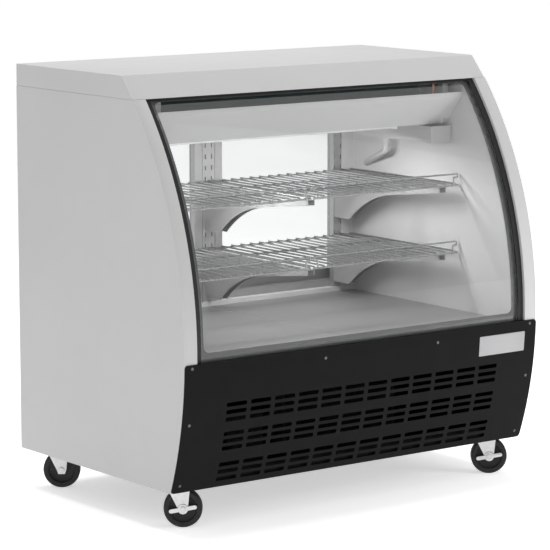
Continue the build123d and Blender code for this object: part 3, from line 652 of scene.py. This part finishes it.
# ---------------------------------------------------------------- sub-assemblies
@dataclass
class Casing:
    """Painted panels, badge, frame, posts, door frames and drain trough, whose edges are slightly round."""

    shop: Paintshop
    nodes: dict[str, Object]
    panel_edge: float = 1.6 * MM
    sheet_edge: float = 0.8 * MM
    badge_edge: float = 0.3 * MM

    def dress(self) -> None:
        """Round the edges that catch light."""
        for name in ("left_side_panel", "right_side_panel", "top_cap"):
            soften(self.nodes[name], self.panel_edge)
        soften(self.nodes["badge_plate"], self.badge_edge)
        for name in ("rear_frame", "slotted_posts", "left_door_frame", "right_door_frame", "drain_trough"):
            soften(self.nodes[name], self.sheet_edge)


@dataclass
class BaseShadeLip:
    """Folded skirt on the base frame's front face, which hangs just below the lowest slots of the panel. Its black
    is painted shade: a dark sheet that stands in for the unlit machine compartment seen through the lowest slots.
    """

    shop: Paintshop
    sheet: float = 1.5 * MM
    rise: float = 20.0 * MM
    drop: float = 8.0 * MM
    hem: float = 5.0 * MM
    bend: float = 1.5 * MM
    stand_off: float = 0.2 * MM
    end_gap: float = 25.0 * MM

    def build(self) -> Object:
        """Make the skirt: down the frame's front face, then a short hem back under it.

        Returns:
            The skirt.
        """
        low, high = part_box("base_frame")
        face = low.y - self.stand_off
        base = low.z - self.drop
        corners = [Vector((0, y, z)) for y, z in ((face, low.z + self.rise), (face, base), (face + self.hem, base))]
        line = [(p.y, p.z) for p in rounded(corners, self.bend)]
        stock = Stock()
        stock.strip(self._thicken(line), low.x + self.end_gap, high.x - self.end_gap)
        lip = stock.piece("base_painted_shade_lip")
        # Painted shade: the black skirt fills the lowest slots with darkness.
        self.shop.dress(lip, "frame_black")
        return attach(lip, "cabinet")

    def _thicken(self, line: list[tuple[float, float]]) -> list[tuple[float, float]]:
        """Give a line of Y and Z the sheet's thickness.

        Args:
            line: Points of the inner side of the fold.

        Returns:
            The closed section, whose outer side lies one thickness to the right of the line.
        """
        outer = []
        for i, (y, z) in enumerate(line):
            before, after = line[max(i - 1, 0)], line[min(i + 1, len(line) - 1)]
            run = math.hypot(after[0] - before[0], after[1] - before[1])
            step_y, step_z = (after[0] - before[0]) / run, (after[1] - before[1]) / run
            outer.append((y + step_z * self.sheet, z - step_y * self.sheet))
        return line + outer[::-1]


@dataclass
class WireShelf:
    """One welded wire shelf with its guard rail."""

    shop: Paintshop
    node: str
    long_radius: float = 2.5 * MM
    cross_radius: float = 3.0 * MM
    wires: int = 16
    cross_wires: int = 4
    bite: float = 0.8 * MM
    inner_margin: float = 5.0 * MM
    pitch: float = 33.5 * MM
    rail_inset: float = 14.0 * MM
    rail_step: float = 10.0 * MM
    bend: float = 4.0 * MM
    rear_margin: float = 4.0 * MM
    weld_size: Point = (0.0031, 0.0031, 0.0022)

    def build(self) -> Object:
        """Make the shelf in the place of its CAD node.

        Returns:
            The shelf.
        """
        low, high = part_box(self.node)
        inward = 1.0 if low.x > 0 else -1.0
        inner = low.x if inward > 0 else high.x
        stock = Stock()
        cross_z = low.z + self.cross_radius
        long_z = cross_z + self.cross_radius + self.long_radius - self.bite
        front = low.y + self.cross_radius
        rear = high.y - self.rear_margin
        columns = [inner + inward * (self.inner_margin + self.pitch * i) for i in range(self.wires)]
        rows = [front + (rear - front) * i / (self.cross_wires - 1) for i in range(self.cross_wires)]
        dome = self.long_radius / 2
        for x in columns:
            start = Vector((x, low.y + dome, long_z))
            end = Vector((x, high.y - dome, long_z))
            stock.tube([start, end], self.long_radius)
        for y in rows:
            ends = [Vector((low.x + dome, y, cross_z)), Vector((high.x - dome, y, cross_z))]
            stock.tube(ends, self.cross_radius)
        self._rail(stock, low, high, cross_z, front)
        for x in columns:
            for y in rows:
                self._weld(stock, Vector((x, y, (cross_z + long_z) / 2)))
        shelf = stock.piece(f"{self.node}_wires")
        self.shop.dress(shelf, "shelf_wire")
        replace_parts(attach(shelf, self.node), self.node)
        return shelf

    def _rail(self, stock: Stock, low: Vector, high: Vector, cross_z: float, front: float) -> None:
        """Add the raised guard rail along the front edge.

        Args:
            stock: The mesh being made.
            low: The shelf's lowest corner.
            high: The shelf's highest corner.
            cross_z: Height of the cross wires' centres.
            front: Y of the front cross wire.
        """
        top = high.z - self.long_radius
        step = top - self.rail_step
        ends = (low.x + self.long_radius, high.x - self.long_radius)
        feet = (ends[0] + self.rail_inset, ends[1] - self.rail_inset)
        corners = [
            Vector((x, front, z))
            for x, z in (
                (feet[0], cross_z), (feet[0], step), (ends[0], step), (ends[0], top),
                (ends[1], top), (ends[1], step), (feet[1], step), (feet[1], cross_z),
            )
        ]
        stock.tube(rounded(corners, self.bend), self.long_radius)

    def _weld(self, stock: Stock, spot: Vector) -> None:
        """Add the small flattened weld where two wires cross."""
        matrix = Matrix.Translation(spot) @ Matrix.Diagonal((*self.weld_size, 1.0))
        bmesh.ops.create_icosphere(stock.mesh, subdivisions=1, radius=1.0, matrix=matrix)


@dataclass
class FinPack:
    """A finned coil: thin plates on copper tubes between two end sheets."""

    shop: Paintshop
    node: str
    name: str
    slot: str
    pitch: float
    tube_rows: int
    tube_columns: int
    tube_slot: str
    fin: float = 0.25 * MM
    end_sheet: float = 1.5 * MM
    tube_radius: float = 4.6 * MM
    wave: float = 0.8 * MM
    folds: int = 6
    fin_margin: float = 1.5 * MM
    tube_inset: float = 2.0 * MM

    def build(self) -> list[Object]:
        """Make the fins, end sheets and tubes in the place of the CAD block.

        Returns:
            The fin pack and its tubes.
        """
        low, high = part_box(self.node)
        stock = Stock()
        count = int((high.x - low.x - 2 * self.end_sheet) / self.pitch)
        margin = Vector((0, self.fin_margin, self.fin_margin))
        for i in range(count):
            x = low.x + self.end_sheet + self.pitch * (i + 0.5)
            self._fin(stock, x, low + margin, high - margin)
        for x in (low.x, high.x - self.end_sheet):
            stock.block(Vector((x, low.y, low.z)), Vector((x + self.end_sheet, high.y, high.z)))
        fins = stock.piece(self.name)
        self.shop.dress(fins, self.slot)
        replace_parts(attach(fins, "cabinet"), self.node)
        return [fins, self._tubes(low, high)]

    def _fin(self, stock: Stock, x: float, low: Vector, high: Vector) -> None:
        """Add one thin plate with shallow folds across its depth.

        Args:
            stock: The mesh being made.
            x: The plate's place along the coil.
            low: Lowest corner of the plates.
            high: Highest corner of the plates.
        """
        folds = self.folds
        sides = []
        for face in (-1, 1):
            rows = []
            for z in (low.z, high.z):
                row = []
                for i in range(folds + 1):
                    y = low.y + (high.y - low.y) * i / folds
                    bend = self.wave * (i % 2 - 0.5)
                    row.append(stock.mesh.verts.new((x + bend + face * self.fin / 2, y, z)))
                rows.append(row)
            sides.append(rows)
        (a0, a1), (b0, b1) = sides
        make = stock.mesh.faces.new
        for i in range(folds):
            make((a0[i], a1[i], a1[i + 1], a0[i + 1]))
            make((b0[i], b0[i + 1], b1[i + 1], b1[i]))
            make((a0[i], a0[i + 1], b0[i + 1], b0[i]))
            make((a1[i], b1[i], b1[i + 1], a1[i + 1]))
        make((a0[0], b0[0], b1[0], a1[0]))
        make((a0[-1], a1[-1], b1[-1], b0[-1]))

    def _tubes(self, low: Vector, high: Vector) -> Object:
        """Make the straight tubes through the fins.

        Args:
            low: The coil's lowest corner.
            high: The coil's highest corner.

        Returns:
            The tubes.
        """
        stock = Stock()
        for i in range(self.tube_columns):
            for j in range(self.tube_rows):
                y = low.y + (high.y - low.y) * (i + 0.5) / self.tube_columns
                z = low.z + (high.z - low.z) * (j + 0.5) / self.tube_rows
                ends = [Vector((x, y, z)) for x in (low.x + self.tube_inset, high.x - self.tube_inset)]
                stock.tube(ends, self.tube_radius)
        tubes = stock.piece(f"{self.name}_tubes")
        self.shop.dress(tubes, self.tube_slot)
        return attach(tubes, "cabinet")


@dataclass
class Caster:
    """One caster: turned wheel with tread, hub and bearing seals; its fork and brake keep their CAD shape."""

    shop: Paintshop
    nodes: dict[str, Object]
    corner: str
    joints: list[dict]
    radius: float = 51.0 * MM
    half_width: float = 16.0 * MM
    bore: float = 5.05 * MM

    def build(self) -> Object:
        """Make the wheel in the place of its CAD node.

        Returns:
            The wheel.
        """
        joint = next(j for j in self.joints if j["name"] == f"{self.corner}_roll")
        axis = Vector(joint["axis"]).normalized()
        frame = Matrix.Translation(joint["pos_m"]) @ axis.to_track_quat("Z", "X").to_matrix().to_4x4()
        stock = Stock()
        stock.lathe(self._section(), frame, 96)
        wheel = stock.piece(f"{self.corner}_caster_wheel", 40.0)
        self.shop.dress(wheel, "wheel_rubber")
        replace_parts(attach(wheel, f"{self.corner}_wheel"), f"{self.corner}_wheel")
        for part in ("fork", "brake"):
            node = self.nodes.get(f"{self.corner}_{part}")
            if node is not None:
                soften(node, 0.5 * MM)
        return wheel

    def _section(self) -> list[tuple[float, float]]:
        """Section of the wheel on both sides of its middle plane.

        Returns:
            Radius and height of each corner in order.
        """
        half = self.half_width
        shoulder = 5.5 * MM
        side = [(self.bore, half), (12.0 * MM, half), (13.0 * MM, half - 1.0 * MM)]
        side += [(14.0 * MM, half - 6.0 * MM)]
        side += [(34.0 * MM, half - 6.0 * MM), (35.5 * MM, half - 5.0 * MM), (36.5 * MM, half - 0.6 * MM)]
        side += [(37.5 * MM, half - 0.3 * MM), (43.0 * MM, half - 0.3 * MM)]
        corner = self.radius - shoulder
        for i in range(7):
            turn = math.radians(90 - 15 * i)
            side.append((corner + shoulder * math.cos(turn), half - shoulder + shoulder * math.sin(turn)))
        side += [(self.radius, 4.4 * MM), (self.radius - 0.8 * MM, 4.0 * MM)]
        mirrored = [(r, -h) for r, h in reversed(side)]
        return side + mirrored


# ---------------------------------------------------------------- studio
@dataclass(frozen=True)
class Softbox:
    """One square area light, placed and aimed from the case's middle."""

    name: str
    offset: Point
    aim: Point
    size: float
    power: float


SOFTBOXES = (
    Softbox("top_softbox", (0.0, 0.8, 3.2), (0.0, 0.0, 0.0), 2.4, 98.0),
    Softbox("left_softbox", (-3.6, -2.6, 0.4), (0.0, 0.0, 0.0), 2.5, 16.0),
    Softbox("right_softbox", (1.7, -1.9, 0.2), (0.5, 0.0, 0.0), 1.0, 20.0),
)


@dataclass
class Studio:
    """Plain pale floor, white surround, soft lights and the camera."""

    yaw: float = 37.15
    pitch: float = 8.7
    distance: float = 7.8177
    lens: float = 185.0
    aim_offset: Point = (-0.0102, 0.0072, -0.0028)
    surround: float = 0.5
    floor_glow: float = 0.52
    floor_reach: float = 60.0
    lamp_power: float = 6.2
    lamp_share: float = 0.75
    lamp_lead: float = 0.03
    lamp_drop: float = 0.01
    lamp_width: float = 0.08
    lamp_aim: Point = (0.0, 0.1, -1.0)

    def build(self, low: Vector, high: Vector) -> None:
        """Make the whole studio round the case.

        Args:
            low: The case's lowest corner.
            high: The case's highest corner.
        """
        self._surround()
        self._floor(low.z)
        centre = (low + high) / 2
        for box in SOFTBOXES:
            spot, aim = centre + Vector(box.offset), centre + Vector(box.aim)
            self._softbox(box.name, spot, aim, box.size, box.power)
        self._case_light()
        self._camera(centre)

    def _surround(self) -> None:
        """White surround that is brighter to the eye than it is as a light."""
        world = bpy.data.worlds.new("studio")
        bpy.context.scene.world = world
        world.use_nodes = True
        nodes, links = world.node_tree.nodes, world.node_tree.links
        seen = nodes.new("ShaderNodeBackground")
        seen.inputs["Color"].default_value = (1, 1, 1, 1)
        seen.inputs["Strength"].default_value = 1.0
        light = nodes["Background"]
        light.inputs["Color"].default_value = (1, 1, 1, 1)
        light.inputs["Strength"].default_value = self.surround
        path = nodes.new("ShaderNodeLightPath")
        mix = nodes.new("ShaderNodeMixShader")
        links.new(path.outputs["Is Camera Ray"], mix.inputs["Fac"])
        links.new(light.outputs["Background"], mix.inputs[1])
        links.new(seen.outputs["Background"], mix.inputs[2])
        links.new(mix.outputs["Shader"], nodes["World Output"].inputs["Surface"])

    def _floor(self, height: float) -> None:
        """Make the large pale floor.

        Args:
            height: The case's lowest point.
        """
        reach = self.floor_reach
        data = bpy.data.meshes.new("floor")
        corners = [(x * reach, y * reach, height) for x, y in ((-1, -1), (1, -1), (1, 1), (-1, 1))]
        data.from_pydata(corners, [], [(0, 1, 2, 3)])
        floor = bpy.data.objects.new("floor", data)
        bpy.context.scene.collection.objects.link(floor)
        recipe = Recipe("floor_paper", (0.97, 0.97, 0.97), 0.9)
        recipe.set("Emission Color", (1, 1, 1, 1))
        recipe.set("Emission Strength", self.floor_glow)
        data.materials.append(recipe.material)
        floor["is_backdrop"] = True

    def _softbox(self, name: str, spot: Vector, aim: Vector, size: float, power: float) -> Object:
        """Add one square area light that lights the case but isn't itself seen.

        Args:
            name: The light's name.
            spot: Its place.
            aim: The point it faces.
            size: Its side.
            power: Its power in watts.

        Returns:
            The light.
        """
        data = bpy.data.lights.new(name, "AREA")
        data.size = size
        data.energy = power
        lamp = bpy.data.objects.new(name, data)
        lamp.location = spot
        lamp.rotation_mode = "QUATERNION"
        lamp.rotation_quaternion = (aim - spot).to_track_quat("-Z", "Y")
        lamp.visible_camera = False
        lamp.visible_glossy = False
        bpy.context.scene.collection.objects.link(lamp)
        return lamp

    def _case_light(self) -> None:
        """Light of the case's own lamp: a strip below and in front of its tube, facing down and a little back."""
        low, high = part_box("led_light")
        spot = Vector(((low.x + high.x) / 2, low.y - self.lamp_lead, low.z - self.lamp_drop))
        length = (high.x - low.x) * self.lamp_share
        aim = spot + Vector(self.lamp_aim)
        lamp = self._softbox("case_lamp", spot, aim, length, self.lamp_power)
        lamp.data.shape = "RECTANGLE"
        lamp.data.size_y = self.lamp_width

    def _camera(self, centre: Vector) -> None:
        """Make the long-lens camera at a three-quarter view from the front left.

        Args:
            centre: The case's middle.
        """
        yaw, pitch = math.radians(self.yaw), math.radians(self.pitch)
        ahead = Vector((math.sin(yaw) * math.cos(pitch), math.cos(yaw) * math.cos(pitch), -math.sin(pitch)))
        data = bpy.data.cameras.new("camera")
        data.lens = self.lens
        data.clip_end = 100.0
        camera = bpy.data.objects.new("camera", data)
        camera.location = centre + Vector(self.aim_offset) - ahead * self.distance
        camera.rotation_mode = "QUATERNION"
        camera.rotation_quaternion = ahead.to_track_quat("-Z", "Y")
        bpy.context.scene.collection.objects.link(camera)
        bpy.context.scene.camera = camera


def main() -> None:
    """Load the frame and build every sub-assembly in order."""
    logging.basicConfig(level=logging.INFO, format="%(name)s: %(message)s")
    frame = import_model()
    cad_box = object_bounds()
    bpy.context.scene.view_settings.view_transform = "Standard"
    shop = Paintshop(frame["record"])
    shop.dress_nodes(frame["nodes"])
    Casing(shop, frame["nodes"]).dress()
    for level in ("upper", "lower"):
        for side in ("left", "right"):
            shelf = WireShelf(shop, f"{level}_{side}_shelf").build()
            LOG.info("shelf %s", shelf.name)
    for pack in (
        FinPack(
            shop, "evaporator_coil", "evaporator_fin_pack", "coil_fins",
            pitch=4.5 * MM, tube_rows=2, tube_columns=4, tube_slot="copper",
        ),
        # The condenser's fins and tubes get the near-black condenser_fins finish: painted shade for the unlit
        # machine compartment.
        FinPack(
            shop, "condenser_coil", "condenser_fin_pack", "condenser_fins",
            pitch=3.2 * MM, tube_rows=6, tube_columns=2, tube_slot="condenser_fins",
        ),
    ):
        for piece in pack.build():
            LOG.info("coil %s", piece.name)
    for corner in ("front_left", "front_right", "rear_left", "rear_right"):
        wheel = Caster(shop, frame["nodes"], corner, frame["joints"]).build()
        LOG.info("wheel %s", wheel.name)
    LOG.info("base %s", BaseShadeLip(shop).build().name)
    Studio().build(*cad_box)


if __name__ == "__main__":
    main()
